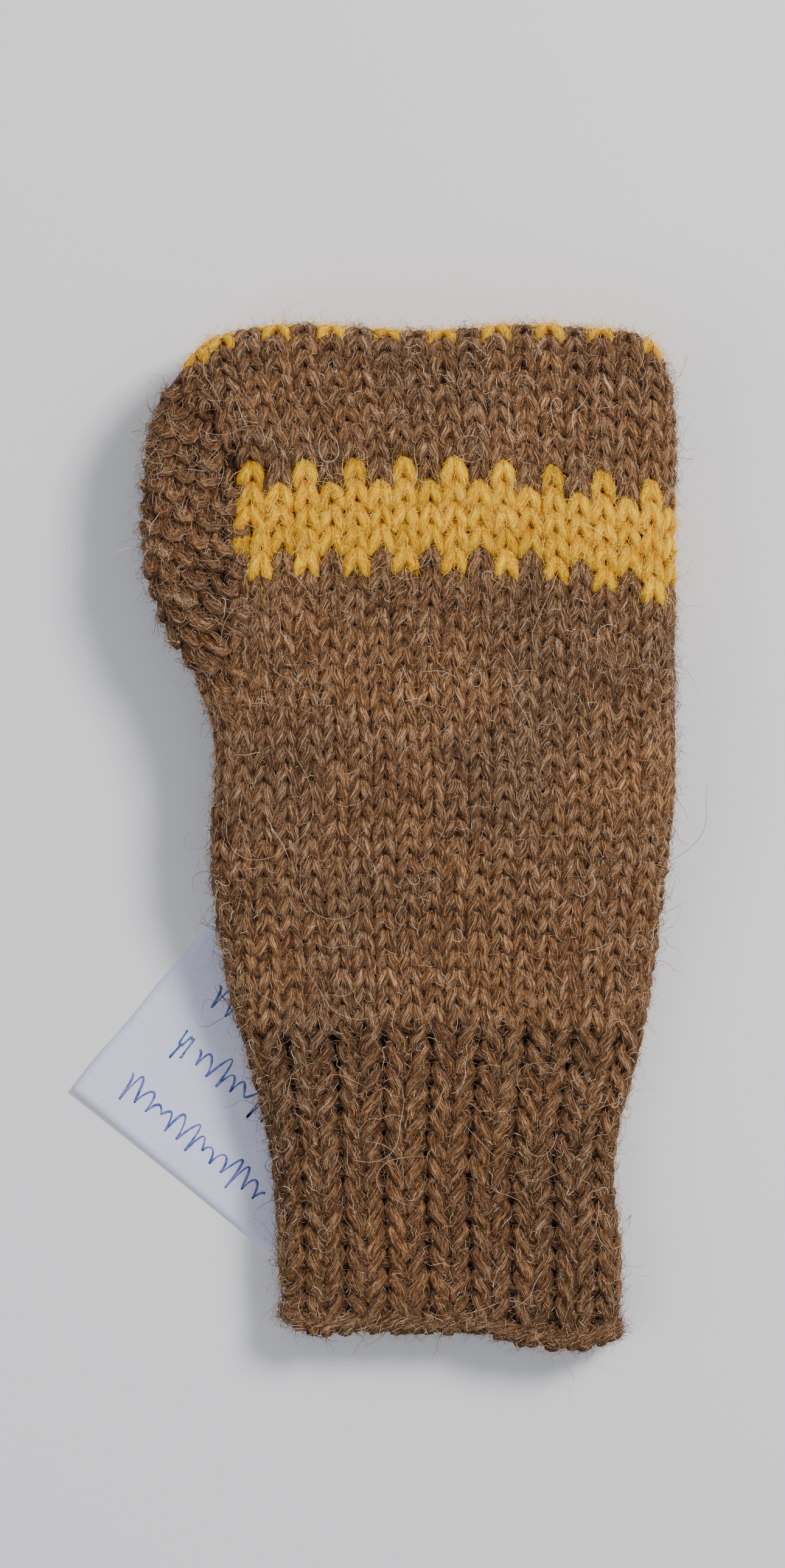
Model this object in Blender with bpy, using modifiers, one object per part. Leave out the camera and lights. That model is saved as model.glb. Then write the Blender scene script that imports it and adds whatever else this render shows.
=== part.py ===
"""A long knitted wool mitten that lies flat, with its finger end folded back under the hand.

It is knitted from the fingertip to the cuff. Each zone of the knitting is a solid of its own: bound-off edge,
ribbed cuff, plain hand, yellow bands with the strands that float behind them, purl thumb gusset, finger end
and thumb. A memo slip lies under the
cuff. Lengths are in metres, X runs across the hand, Y from the cuff to the fold, and Z up.
"""

import math

import bmesh
import bpy
from mathutils import Vector

MM = 0.001

WALL = 3.2 * MM
GAP = 0.3 * MM

# The hand, along Y.
CUFF_END = 72 * MM
GUSSET_START = 148 * MM
BAND_START = 176 * MM
BAND_END = 202 * MM
FOLD_Y = 233.5 * MM
FOLD_THICKNESS = 8 * MM
HAND_END = FOLD_Y - FOLD_THICKNESS - GAP
EDGE_RADIUS = 1.7 * MM

# Heights. The cuff lies on the slip, and the hand climbs over the folded finger end.
SLIP_THICKNESS = 0.4 * MM
TUBE_THICKNESS = 13 * MM
FLAP_THICKNESS = 11 * MM
CUFF_BOTTOM = SLIP_THICKNESS + GAP
HAND_BOTTOM = FLAP_THICKNESS + SLIP_THICKNESS
HAND_TOP = HAND_BOTTOM + TUBE_THICKNESS
CLIMB_END = 128 * MM

# The left and right edges of the lying mitten at heights along Y.
OUTLINE = [
    (0, -37.5, 39.5),
    (20, -40.5, 40.0),
    (45, -41.0, 38.5),
    (63, -45.5, 43.0),
    (85, -52.0, 48.5),
    (110, -54.5, 50.5),
    (143, -54.5, 52.0),
    (152, -58.5, 52.0),
    (163, -65.5, 51.5),
    (177, -70.5, 51.5),
    (195, -72.0, 52.0),
    (205, -70.5, 53.0),
    (215, -68.0, 52.5),
    (226, -63.0, 50.5),
]
# Where the purl gusset meets the plain hand, on both faces.
SEAM = [(148, -50.5), (190, -49.5), (226, -46.5)]

# The finger end and the thumb, which point back towards the cuff below the hand.
FINGERS_LEFT, FINGERS_RIGHT = -29.5 * MM, 50 * MM
FINGERS_END = 170 * MM
FINGERTIP_END = 131 * MM
THUMB_LEFT, THUMB_RIGHT = -61 * MM, -31.5 * MM
THUMB_BASE_END = 212 * MM
THUMB_TUBE_END = 178 * MM
THUMB_TIP_END = 160 * MM
TIP_HOLE = 4 * MM
TIP_THICKNESS = 7.2 * MM

# The fold turns through two quarter bends, and each turns about this inset from the outer corner.
BEND_RADIUS = 6 * MM
BEND_INSET = BEND_RADIUS * (1 - math.pi / 4)

SLIP_SIDE = 75 * MM
SLIP_CORNER = Vector((-88.3 * MM, 57 * MM, 0))
SLIP_ANGLE = math.radians(-39.8)

FLOAT_THICKNESS = 0.8 * MM
FLOAT_WIDTH = 1.6 * MM

TAIL_RADIUS = 0.8 * MM
# The yarn ends woven in along the inside: name, X, and the stretch of Y that each runs.
TAILS = [
    ("bound_off_tail", 32 * MM, 6 * MM, 50 * MM),
    ("yellow_start_tail", -43.5 * MM, 151 * MM, 173 * MM),
    ("yellow_end_tail", -42 * MM, 204 * MM, 222 * MM),
]

ARC_STEPS = 6
STATION_STEP = 9 * MM

BROWN = (0.19, 0.087, 0.036)
YELLOW = (0.61, 0.34, 0.075)
PAPER = (0.62, 0.63, 0.70)


def clear_scene():
    for obj in list(bpy.data.objects):
        bpy.data.objects.remove(obj)


def material(name, colour, roughness):
    made = bpy.data.materials.new(name)
    made.use_nodes = True
    shader = made.node_tree.nodes["Principled BSDF"]
    shader.inputs["Base Color"].default_value = (*colour, 1)
    shader.inputs["Roughness"].default_value = roughness
    shader.inputs["Metallic"].default_value = 0
    return made


def along(table, y, column):
    """A smooth value between the rows of a table whose first column is Y in millimetres."""
    at = y / MM
    last = len(table) - 2
    k = next((i for i in range(last) if at < table[i + 1][0]), last)
    before, low, high, after = (table[min(max(k + i, 0), last + 1)] for i in (-1, 0, 1, 2))
    span = high[0] - low[0]
    t = min(max((at - low[0]) / span, 0), 1)
    slope_low = (high[column] - before[column]) / (high[0] - before[0]) * span
    slope_high = (after[column] - low[column]) / (after[0] - low[0]) * span
    value = (
        (2 * t**3 - 3 * t**2 + 1) * low[column]
        + (t**3 - 2 * t**2 + t) * slope_low
        + (3 * t**2 - 2 * t**3) * high[column]
        + (t**3 - t**2) * slope_high
    )
    return value * MM


def hand_bottom(y):
    """Height of the hand's underside, which climbs from the cuff to the top of the folded finger end."""
    t = min(max((y - CUFF_END) / (CLIMB_END - CUFF_END), 0), 1)
    return CUFF_BOTTOM + (HAND_BOTTOM - CUFF_BOTTOM) * t * t * (3 - 2 * t)


def arc(x, y, z, radius, start, end):
    """Points of an arc in a plane across Y."""
    steps = [start + (end - start) * i / ARC_STEPS for i in range(ARC_STEPS + 1)]
    return [Vector((x + radius * math.cos(a), y, z + radius * math.sin(a))) for a in steps]


def right_end(section, inset):
    """The section's round right edge, from its top to its underside."""
    y, _, right, bottom, top = section
    radius = (top - bottom) / 2
    middle = (top + bottom) / 2
    return arc(right - radius, y, middle, radius - inset, math.pi / 2, -math.pi / 2)


def left_end(section, inset):
    """The section's round left edge, from its underside to its top."""
    y, left, _, bottom, top = section
    radius = (top - bottom) / 2
    middle = (top + bottom) / 2
    return arc(left + radius, y, middle, radius - inset, -math.pi / 2, -3 * math.pi / 2)


def whole(section, inset):
    return right_end(section, inset) + left_end(section, inset)


def right_of_seam(section, inset):
    """From the seam on top, round the right edge, to the seam underneath."""
    y, _, _, bottom, top = section
    x = along(SEAM, y, 1) + GAP
    return (
        [Vector((x, y, top - inset))] + right_end(section, inset) + [Vector((x, y, bottom + inset))]
    )


def left_of_seam(section, inset):
    """From the seam underneath, round the left edge, to the seam on top."""
    y, _, _, bottom, top = section
    x = along(SEAM, y, 1)
    return (
        [Vector((x, y, bottom + inset))] + left_end(section, inset) + [Vector((x, y, top - inset))]
    )


def skin(name, outer, inner, closed):
    """A wall between two stacks of matching point rows. Closed rows make a tube and open rows a bent panel."""
    mesh = bmesh.new()
    stacks = [[[mesh.verts.new(p) for p in row] for row in stack] for stack in (outer, inner)]
    columns = len(outer[0]) if closed else len(outer[0]) - 1
    rows = len(outer) - 1

    def corner(stack, row, column):
        return stacks[stack][row][column % len(outer[0])]

    for row in range(rows):
        for column in range(columns):
            for stack in (0, 1):
                corners = [(row, column), (row, column + 1), (row + 1, column + 1), (row + 1, column)]
                mesh.faces.new([corner(stack, *c) for c in corners])
    for row in (0, rows):
        for column in range(columns):
            ends = [(0, row, column), (0, row, column + 1), (1, row, column + 1), (1, row, column)]
            mesh.faces.new([corner(*e) for e in ends])
    if not closed:
        for column in (0, columns):
            for row in range(rows):
                ends = [(0, row, column), (0, row + 1, column), (1, row + 1, column), (1, row, column)]
                mesh.faces.new([corner(*e) for e in ends])
    bmesh.ops.recalc_face_normals(mesh, faces=mesh.faces)
    data = bpy.data.meshes.new(name)
    mesh.to_mesh(data)
    mesh.free()
    data.shade_smooth()
    data.set_sharp_from_angle(angle=math.radians(40))
    return bpy.data.objects.new(name, data)


def stations(start, end):
    count = max(1, round(abs(end - start) / STATION_STEP))
    return [start + (end - start) * i / count for i in range(count + 1)]


def hand_section(y):
    bottom = hand_bottom(y)
    return (y, along(OUTLINE, y, 1), along(OUTLINE, y, 2), bottom, bottom + TUBE_THICKNESS)


def hand_tube(name, start, end, around, closed, wall=WALL):
    sections = [hand_section(y) for y in stations(start, end)]
    outer = [around(s, 0) for s in sections]
    inner = [around(s, wall) for s in sections]
    return skin(name, outer, inner, closed)


def float_strand(name, y):
    """The strand that floats behind a row of dots: a thin ring of yarn against the band's inner face."""
    sections = [hand_section(y - FLOAT_WIDTH / 2), hand_section(y + FLOAT_WIDTH / 2)]
    outer = [right_of_seam(s, WALL + GAP) for s in sections]
    inner = [right_of_seam(s, WALL + GAP + FLOAT_THICKNESS) for s in sections]
    return skin(name, outer, inner, closed=False)


def yarn(name, path, radius, closed):
    """A round strand of yarn along a path."""
    curve = bpy.data.curves.new(name, "CURVE")
    curve.dimensions = "3D"
    curve.bevel_depth = radius
    curve.bevel_resolution = 2
    curve.use_fill_caps = not closed
    spline = curve.splines.new("POLY")
    spline.points.add(len(path) - 1)
    for point, place in zip(spline.points, path, strict=True):
        point.co = (*place, 1)
    spline.use_cyclic_u = closed
    return bpy.data.objects.new(name, curve)


def bound_off_edge():
    """The rolled chain that binds off the knitting, a closed ring of yarn at the cuff's mouth."""
    section = hand_section(0)
    path = whole((EDGE_RADIUS, *section[1:]), EDGE_RADIUS)
    return yarn("bound_off_edge", path, EDGE_RADIUS, closed=True)


def yarn_tail(name, x, start, end):
    """A yarn end woven in up and down along the inside of the hand's lower layer."""
    path = []
    steps = 16
    for i in range(steps + 1):
        y = start + (end - start) * i / steps
        sway = 0.9 * MM * math.sin(i * math.pi / 2)
        path.append(Vector((x + sway, y, hand_bottom(y) + WALL + GAP + TAIL_RADIUS)))
    return yarn(name, path, TAIL_RADIUS, closed=False)


def flat_tube(name, left, right, start, end):
    """A straight stretch of the folded finger end or thumb, lying on the floor."""
    sections = [(y, left, right, 0, FLAP_THICKNESS) for y in stations(start, end)]
    outer = [whole(s, 0) for s in sections]
    inner = [whole(s, WALL) for s in sections]
    return skin(name, outer, inner, closed=True)


def rounded_tip(name, left, right, start, end):
    """The round end of a finger or thumb tube, drawn in to the hole that the closing thread fills."""
    middle = (left + right) / 2
    half = (right - left) / 2
    outer, inner = [], []
    steps = 7
    for i in range(steps + 1):
        angle = math.pi / 2 * i / steps
        width = TIP_HOLE + (half - TIP_HOLE) * math.cos(angle)
        lift = (FLAP_THICKNESS - TIP_THICKNESS) / 2 * math.sin(angle) ** 2
        sides = (middle - width, middle + width, lift, FLAP_THICKNESS - lift)
        outer.append(whole((start - (start - end) * math.sin(angle), *sides), 0))
        inner.append(whole((start - (start - end - WALL) * math.sin(angle), *sides), WALL))
    # The hole's wall runs straight out to the end, so that the tip keeps its thickness there.
    inner.append(whole((end, *sides), WALL))
    outer.append(whole((end - GAP, *sides), WALL / 2))
    return skin(name, outer, inner, closed=True)


def closing_thread(name, left, right, end):
    """The drawn-up thread that closes a tip, a small ring just outside the hole."""
    bpy.ops.mesh.primitive_torus_add(
        major_radius=1.8 * MM,
        minor_radius=0.8 * MM,
        major_segments=16,
        minor_segments=8,
        rotation=(math.pi / 2, 0, 0),
        location=((left + right) / 2, end - 2 * GAP - 0.8 * MM, FLAP_THICKNESS / 2),
    )
    ring = bpy.context.object
    ring.name = name
    ring.data.shade_smooth()
    return ring


def fold_layer(name, depth):
    """One of the two layers of the second band, upright in the fold. Depth is measured from the outer face."""
    width = along(OUTLINE, HAND_END, 2) - along(OUTLINE, HAND_END, 1) - 6 * MM
    middle = (along(OUTLINE, HAND_END, 2) + along(OUTLINE, HAND_END, 1)) / 2
    height = HAND_TOP - 2 * depth
    bpy.ops.mesh.primitive_cube_add(
        size=1, location=(middle, FOLD_Y - depth - WALL / 2, HAND_TOP / 2)
    )
    slab = bpy.context.object
    slab.name = name
    slab.scale = (width, WALL, height)
    bpy.ops.object.transform_apply(location=False, rotation=False, scale=True)
    rounding = slab.modifiers.new("round edges", "BEVEL")
    rounding.width = WALL * 0.4
    rounding.segments = 3
    return slab


def paper_slip():
    bpy.ops.mesh.primitive_cube_add(size=1)
    slip = bpy.context.object
    slip.name = "paper_slip"
    slip.scale = (SLIP_SIDE, SLIP_SIDE, SLIP_THICKNESS)
    bpy.ops.object.transform_apply(location=False, rotation=False, scale=True)
    slip.rotation_euler.z = SLIP_ANGLE
    to_middle = Vector((SLIP_SIDE / 2, SLIP_SIDE / 2, SLIP_THICKNESS / 2))
    to_middle.rotate(slip.rotation_euler)
    slip.location = SLIP_CORNER + to_middle
    return slip


def pivot(name, place, parent):
    """An empty on a joint's axis, which carries the pieces that move about it."""
    empty = bpy.data.objects.new(name, None)
    bpy.context.scene.collection.objects.link(empty)
    empty.parent = parent
    empty.location = Vector(place) - (Vector(parent["place"]) if parent else Vector())
    empty["place"] = tuple(place)
    return empty


def put(obj, parent, finish, collection):
    """Files a piece under its pivot, with its own origin there too, and gives it its material."""
    for old in list(obj.users_collection):
        old.objects.unlink(obj)
    collection.objects.link(obj)
    place = Vector(parent["place"])
    if obj.location.length == 0 and obj.type == "MESH":
        for vertex in obj.data.vertices:
            vertex.co -= place
    else:
        obj.location -= place
    obj.parent = parent
    obj.data.materials.clear()
    obj.data.materials.append(finish)


def stand_on_origin(root, parts):
    """Moves the whole mitten so that its box is centred on the origin."""
    bpy.context.view_layer.update()
    graph = bpy.context.evaluated_depsgraph_get()
    corners = []
    for part in parts:
        mesh = part.evaluated_get(graph).to_mesh()
        corners += [part.matrix_world @ v.co for v in mesh.vertices]
    for axis in (0, 1):
        low = min(c[axis] for c in corners)
        high = max(c[axis] for c in corners)
        root.location[axis] -= (low + high) / 2


def build():
    clear_scene()
    mitten = bpy.data.collections.new("folded mitten")
    bpy.context.scene.collection.children.link(mitten)
    brown = material("brown wool", BROWN, 0.95)
    yellow = material("yellow wool", YELLOW, 0.95)
    paper = material("paper", PAPER, 0.8)

    hand = pivot("hand", (0, 0, 0), None)
    bend_y = FOLD_Y - BEND_INSET
    fold = pivot("fold axis", (0, bend_y, HAND_TOP - BEND_INSET), hand)
    fingers = pivot("fingers axis", (0, bend_y, BEND_INSET), fold)
    thumb_base = pivot("thumb fold axis", (0, bend_y, BEND_INSET), fold)
    spread = (THUMB_LEFT, THUMB_BASE_END - GAP / 2, FLAP_THICKNESS / 2)
    thumb = pivot("thumb spread axis", spread, thumb_base)
    slip = pivot("slip slide", (0, 0, 0), hand)

    band_row = (BAND_END - BAND_START) / 5
    pieces = [
        (bound_off_edge(), hand, brown),
        (hand_tube("ribbed_cuff", 2 * EDGE_RADIUS + GAP, CUFF_END, whole, True), hand, brown),
        (hand_tube("wrist_section", CUFF_END + GAP, GUSSET_START, whole, True), hand, brown),
        (
            hand_tube("palm_section", GUSSET_START + GAP, BAND_START, right_of_seam, False),
            hand,
            brown,
        ),
        (
            hand_tube("first_yellow_band", BAND_START + GAP, BAND_END, right_of_seam, False),
            hand,
            yellow,
        ),
        (float_strand("lower_float_strand", BAND_START + band_row / 2), hand, brown),
        (float_strand("upper_float_strand", BAND_END - band_row / 2), hand, brown),
        *[(yarn_tail(*tail), hand, brown if tail is TAILS[0] else yellow) for tail in TAILS],
        (hand_tube("knuckle_section", BAND_END + GAP, HAND_END, right_of_seam, False), hand, brown),
        (hand_tube("thumb_gusset", GUSSET_START + GAP, HAND_END, left_of_seam, False), hand, brown),
        (fold_layer("second_band_outer_layer", 0), fold, yellow),
        (fold_layer("second_band_inner_layer", WALL + 1.2 * MM), fold, yellow),
        (
            flat_tube("fingers_section", FINGERS_LEFT, FINGERS_RIGHT, HAND_END, FINGERS_END),
            fingers,
            brown,
        ),
        (
            rounded_tip(
                "fingertip_cap", FINGERS_LEFT, FINGERS_RIGHT, FINGERS_END - GAP, FINGERTIP_END
            ),
            fingers,
            brown,
        ),
        (
            closing_thread("fingertip_closing_thread", FINGERS_LEFT, FINGERS_RIGHT, FINGERTIP_END),
            fingers,
            brown,
        ),
        (
            flat_tube("thumb_base", THUMB_LEFT, THUMB_RIGHT, HAND_END, THUMB_BASE_END),
            thumb_base,
            brown,
        ),
        (
            flat_tube("thumb_tube", THUMB_LEFT, THUMB_RIGHT, THUMB_BASE_END - GAP, THUMB_TUBE_END),
            thumb,
            brown,
        ),
        (
            rounded_tip("thumb_tip", THUMB_LEFT, THUMB_RIGHT, THUMB_TUBE_END - GAP, THUMB_TIP_END),
            thumb,
            brown,
        ),
        (closing_thread("thumb_closing_thread", THUMB_LEFT, THUMB_RIGHT, THUMB_TIP_END), thumb, brown),
        (paper_slip(), slip, paper),
    ]
    for obj, parent, finish in pieces:
        put(obj, parent, finish, mitten)
    stand_on_origin(hand, [obj for obj, _, _ in pieces])


build()
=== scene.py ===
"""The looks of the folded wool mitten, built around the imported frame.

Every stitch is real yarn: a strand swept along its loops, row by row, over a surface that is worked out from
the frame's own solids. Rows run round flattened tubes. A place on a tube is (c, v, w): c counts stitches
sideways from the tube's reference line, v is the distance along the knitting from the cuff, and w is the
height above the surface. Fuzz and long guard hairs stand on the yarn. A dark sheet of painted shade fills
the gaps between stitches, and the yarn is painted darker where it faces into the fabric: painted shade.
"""

import math

import bpy
import numpy as np
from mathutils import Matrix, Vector


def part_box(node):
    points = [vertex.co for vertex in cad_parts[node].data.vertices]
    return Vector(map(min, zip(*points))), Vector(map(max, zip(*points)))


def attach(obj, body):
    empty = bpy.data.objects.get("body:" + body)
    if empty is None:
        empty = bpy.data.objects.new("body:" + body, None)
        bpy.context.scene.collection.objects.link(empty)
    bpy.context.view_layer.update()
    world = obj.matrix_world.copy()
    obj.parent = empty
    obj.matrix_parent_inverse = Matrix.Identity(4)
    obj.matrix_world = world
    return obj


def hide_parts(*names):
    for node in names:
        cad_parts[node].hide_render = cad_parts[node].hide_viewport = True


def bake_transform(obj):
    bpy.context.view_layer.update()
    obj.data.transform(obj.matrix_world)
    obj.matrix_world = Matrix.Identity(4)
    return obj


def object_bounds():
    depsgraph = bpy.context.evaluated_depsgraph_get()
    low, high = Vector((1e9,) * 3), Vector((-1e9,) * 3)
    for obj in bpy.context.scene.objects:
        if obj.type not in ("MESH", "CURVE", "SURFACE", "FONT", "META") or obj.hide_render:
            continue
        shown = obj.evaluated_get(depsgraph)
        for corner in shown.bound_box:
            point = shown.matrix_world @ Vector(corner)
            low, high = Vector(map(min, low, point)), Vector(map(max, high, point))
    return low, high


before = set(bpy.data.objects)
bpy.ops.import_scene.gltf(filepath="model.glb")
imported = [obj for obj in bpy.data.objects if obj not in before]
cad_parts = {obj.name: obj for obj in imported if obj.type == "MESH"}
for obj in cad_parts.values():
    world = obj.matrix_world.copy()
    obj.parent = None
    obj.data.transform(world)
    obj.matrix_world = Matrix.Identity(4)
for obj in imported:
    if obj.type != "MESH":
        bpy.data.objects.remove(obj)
CAD_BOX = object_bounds()

MM = 0.001
SIDES = 8  # points round a strand of yarn
STEPS = 14  # points along one stitch
SHADE_SHEET_TURNS = 96  # points round the dark sheet of painted shade inside a tube
YARN_WIDTH = 1.48 * MM  # the yarn's half size in the surface
YARN_THICKNESS = 1.15 * MM  # the yarn's half size across it
LOOP_DEPTH = 0.85 * MM  # how far a loop's legs and head part in height
BASE = -1.75 * MM  # the height of the yarn's middle, from the surface
# How far below the surface the dark sheet of painted shade lies.
SHADE_SHEET_DEPTH = -2.2 * MM
rng = np.random.default_rng(21)

# Material slots: brown and yellow yarn, then two dark sheets of painted shade seen between the stitches.
BROWN, YELLOW, SHADE_SHEET, YELLOW_SHADE_SHEET = 0, 1, 2, 3


# ---------------------------------------------------------------- surfaces


def edge_of(names, axis, highest):
    """The edge of some nodes along Y: a table of (y, lowest or highest coordinate on an axis)."""
    table = {}
    pick = max if highest else min
    for name in names:
        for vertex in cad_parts[name].data.vertices:
            y = round(vertex.co.y, 4)
            table[y] = pick(table.get(y, vertex.co[axis]), vertex.co[axis])
    ys = sorted(table)
    return np.array(ys), np.array([table[y] for y in ys])


def smooth_curve(ys, values, reach=4 * MM):
    """The table resampled every millimetre and softened over a few millimetres."""
    fine = np.arange(ys[0], ys[-1], MM)
    raw = np.interp(fine, ys, values)
    weights = np.exp(-0.5 * (np.arange(-12, 13) * MM / reach) ** 2)
    padded = np.pad(raw, 12, mode="edge")
    return fine, np.convolve(padded, weights / weights.sum(), mode="valid")


class Tube:
    """A flattened tube of knitting. Tables over v hold its outer and inner lines in the Y-Z plane, its left and
    right edges, and the reference line that stitches are counted from."""

    def __init__(self, v, outer, inner, left, right, reference):
        self.v, self.outer, self.inner = v, outer, inner
        self.left, self.right, self.reference = left, right, reference

    def section(self, v):
        def read(values):
            return np.interp(v, self.v, values)

        outer = np.stack([read(self.outer[:, 0]), read(self.outer[:, 1])], -1)
        inner = np.stack([read(self.inner[:, 0]), read(self.inner[:, 1])], -1)
        across = outer - inner
        radius = np.linalg.norm(across, axis=-1) / 2
        flat = np.maximum(read(self.right) - read(self.left) - 2 * radius, 1e-5)
        return outer, inner, across, radius, flat

    def around(self, v):
        """The length of the tube's girth at v."""
        _, _, _, radius, flat = self.section(v)
        return 2 * flat + 2 * math.pi * radius

    def place(self, u, v, w):
        """The point at distance u round the tube from its reference line, at v along it and w above it."""
        u, v, w = np.broadcast_arrays(u, v, w)
        outer, inner, across, radius, flat = self.section(v)
        middle = np.interp(v, self.v, (self.left + self.right) / 2)
        s = u + np.interp(v, self.v, self.reference) - middle
        s = np.mod(s + flat / 2, 2 * flat + 2 * math.pi * radius)
        arc = math.pi * radius
        on_top = s < flat
        right_arc = (s >= flat) & (s < flat + arc)
        below = (s >= flat + arc) & (s < 2 * flat + arc)
        angle = np.where(right_arc, (s - flat) / radius, (s - 2 * flat - arc) / radius + math.pi)
        x = np.where(on_top, s - flat / 2, 0)
        x = np.where(below, flat / 2 - (s - flat - arc), x)
        lift = np.where(on_top, 1.0, -1.0)
        turned = ~(on_top | below)
        reach = 1 + w / radius
        side = np.where(right_arc, flat / 2, -flat / 2)
        x = np.where(turned, side + np.sin(angle) * radius * reach, x)
        lift = np.where(turned, np.cos(angle) * reach, lift * reach)
        yz = (outer + inner) / 2 + across / 2 * lift[..., None]
        return np.concatenate([(middle + x)[..., None], yz], -1)

    def normal(self, u, v):
        step = 0.2 * MM
        rise = self.place(u, v, step) - self.place(u, v, -step)
        return rise / np.linalg.norm(rise, axis=-1, keepdims=True)


HAND_LEFT = edge_of(["ribbed_cuff", "wrist_section", "thumb_gusset"], 0, False)
BROWN_NODES = ["ribbed_cuff", "wrist_section", "palm_section", "knuckle_section"]
HAND_RIGHT = edge_of([*BROWN_NODES, "first_yellow_band"], 0, True)
HAND_TOP = edge_of(BROWN_NODES, 2, True)
HAND_UNDER = edge_of(BROWN_NODES, 2, False)

band_low, band_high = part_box("first_yellow_band")
wrist_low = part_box("wrist_section")[0]
cuff_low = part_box("ribbed_cuff")[0]
edge_low, edge_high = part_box("bound_off_edge")
fold_low, fold_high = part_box("second_band_outer_layer")
fingers_low, fingers_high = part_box("fingers_section")
cap_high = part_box("fingertip_cap")[1]
thumb_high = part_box("thumb_tube")[1]
thumb_tip_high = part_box("thumb_tip")[1]
slip_low, slip_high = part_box("paper_slip")

EDGE_TOP = cuff_low.y
CUFF_TOP = wrist_low.y
GUSSET_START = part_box("thumb_gusset")[0].y
BAND_START, BAND_END = band_low.y, band_high.y
TOP = fold_high.z
FOLD_Y = fold_high.y
FOLD_INSIDE = FOLD_Y - 7.75 * MM  # the inner line of the upright second band
HAND_UNDERSIDE = band_low.z
FLAP_TOP = fingers_high.z
BEND = 7.5 * MM  # the outer radius of each of the fold's two bends
LOOSE_FROM = FOLD_Y - 18.75 * MM  # where the inner line leaves the hand's underside
HIGHEST = TOP + 7 * MM  # no loose fibre goes above this

# Distances along the knitting at which the fold's stretches begin.
ARC_1 = FOLD_Y - BEND
STRIP = ARC_1 + BEND * math.pi / 2
ARC_2 = STRIP + TOP - 2 * BEND
FLAP = ARC_2 + BEND * math.pi / 2
FLAP_RIGID = FLAP + ARC_1 - LOOSE_FROM


def folded_lines(v):
    """The outer and inner lines of the whole knitting in the Y-Z plane, at distances v along it."""
    top_y, top_z = smooth_curve(*HAND_TOP)
    under_y, under_z = smooth_curve(*HAND_UNDER)
    outer = np.zeros((len(v), 2))
    inner = np.zeros((len(v), 2))
    for i, at in enumerate(v):
        if at < ARC_1:
            outer[i] = at, np.interp(at, top_y, top_z)
        elif at < STRIP:
            a = (at - ARC_1) / BEND
            outer[i] = ARC_1 + BEND * math.sin(a), TOP - BEND + BEND * math.cos(a)
        elif at < ARC_2:
            outer[i] = FOLD_Y, TOP - BEND - (at - STRIP)
        elif at < FLAP:
            a = (at - ARC_2) / BEND
            outer[i] = ARC_1 + BEND * math.cos(a), BEND - BEND * math.sin(a)
        else:
            outer[i] = ARC_1 - (at - FLAP), 0
        if at < LOOSE_FROM:
            inner[i] = at, np.interp(at, under_y, under_z)
        elif at < STRIP:
            t = (at - LOOSE_FROM) / (STRIP - LOOSE_FROM)
            inner[i] = LOOSE_FROM + (FOLD_INSIDE - LOOSE_FROM) * t, HAND_UNDERSIDE
            inner[i, 1] += (TOP - BEND - HAND_UNDERSIDE) * t
        elif at < ARC_2:
            inner[i] = FOLD_INSIDE, TOP - BEND - (at - STRIP)
        elif at < FLAP_RIGID:
            t = (at - ARC_2) / (FLAP_RIGID - ARC_2)
            inner[i] = FOLD_INSIDE + (LOOSE_FROM - FOLD_INSIDE) * t, BEND + (FLAP_TOP - BEND) * t
        else:
            inner[i] = LOOSE_FROM - (at - FLAP_RIGID), FLAP_TOP
    return outer, inner


def mix(v, *stops):
    """A value read from (v, value) stops, eased between them."""
    xs, values = np.array(stops).T
    k = np.clip(np.searchsorted(xs, v) - 1, 0, len(xs) - 2)
    t = np.clip((v - xs[k]) / (xs[k + 1] - xs[k]), 0, 1)
    return values[k] + (values[k + 1] - values[k]) * t * t * (3 - 2 * t)


STATIONS = np.arange(edge_low.y - 2 * MM, FLAP_RIGID + 100 * MM, 0.5 * MM)
OUTER, INNER = folded_lines(STATIONS)

EASED_FROM = 104 * MM  # above this the side edges run smoothly to the fold's corners
FOLD_LEFT = fold_low.x + 3.5 * MM
BEYOND = 200 * MM
near_fold = STATIONS > EASED_FROM


def hand_edge(table, at_strip, beyond):
    """A side edge of the whole tube over its stations, eased into the fold's corner."""
    edge = np.interp(STATIONS, *smooth_curve(*table))
    stops = (EASED_FROM, edge[~near_fold][-1]), (STRIP, at_strip), (BEYOND, beyond)
    edge[near_fold] = mix(STATIONS[near_fold], *stops)
    return edge


WHOLE_LEFT = hand_edge(HAND_LEFT, FOLD_LEFT, FOLD_LEFT)
WHOLE_RIGHT = hand_edge(HAND_RIGHT, fold_high.x + 1 * MM, fold_high.x)
REFERENCE = mix(STATIONS, (-50 * MM, 16.5 * MM), (31 * MM, 16.4 * MM), (85 * MM, 16.0 * MM), (113 * MM, 12.3 * MM))
WHOLE = Tube(STATIONS, OUTER, INNER, WHOLE_LEFT, WHOLE_RIGHT, REFERENCE)


# ---------------------------------------------------------------- the flap's two tubes


def flap_tube(nodes, left_at_fold, right_at_fold):
    """A tube of the folded-under part: its edges and thickness come from its nodes, eased into the fold."""
    sides = [(2, False), (2, True), (0, False), (0, True)]
    (low_y, low_z), (high_y, high_z), edge_l, edge_r = (
        smooth_curve(*edge_of(nodes, axis, highest), reach=1.5 * MM) for axis, highest in sides
    )
    v = np.arange(ARC_2 - 1 * MM, FLAP + ARC_1 - low_y[0], 0.5 * MM)
    outer, inner = folded_lines(v)
    flat = v > FLAP_RIGID + 12 * MM
    outer[flat, 1] = np.interp(outer[flat, 0], low_y, low_z)
    inner[flat, 1] = np.interp(outer[flat, 0], high_y, high_z)
    y = ARC_1 - (v - FLAP)
    share = mix(v, (ARC_2, 0), (FLAP + 6 * MM, 1))
    left = left_at_fold + (np.interp(y, *edge_l) - left_at_fold) * share
    right = right_at_fold + (np.interp(y, *edge_r) - right_at_fold) * share
    return Tube(v, outer, inner, left, right, (left + right) / 2)


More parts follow.
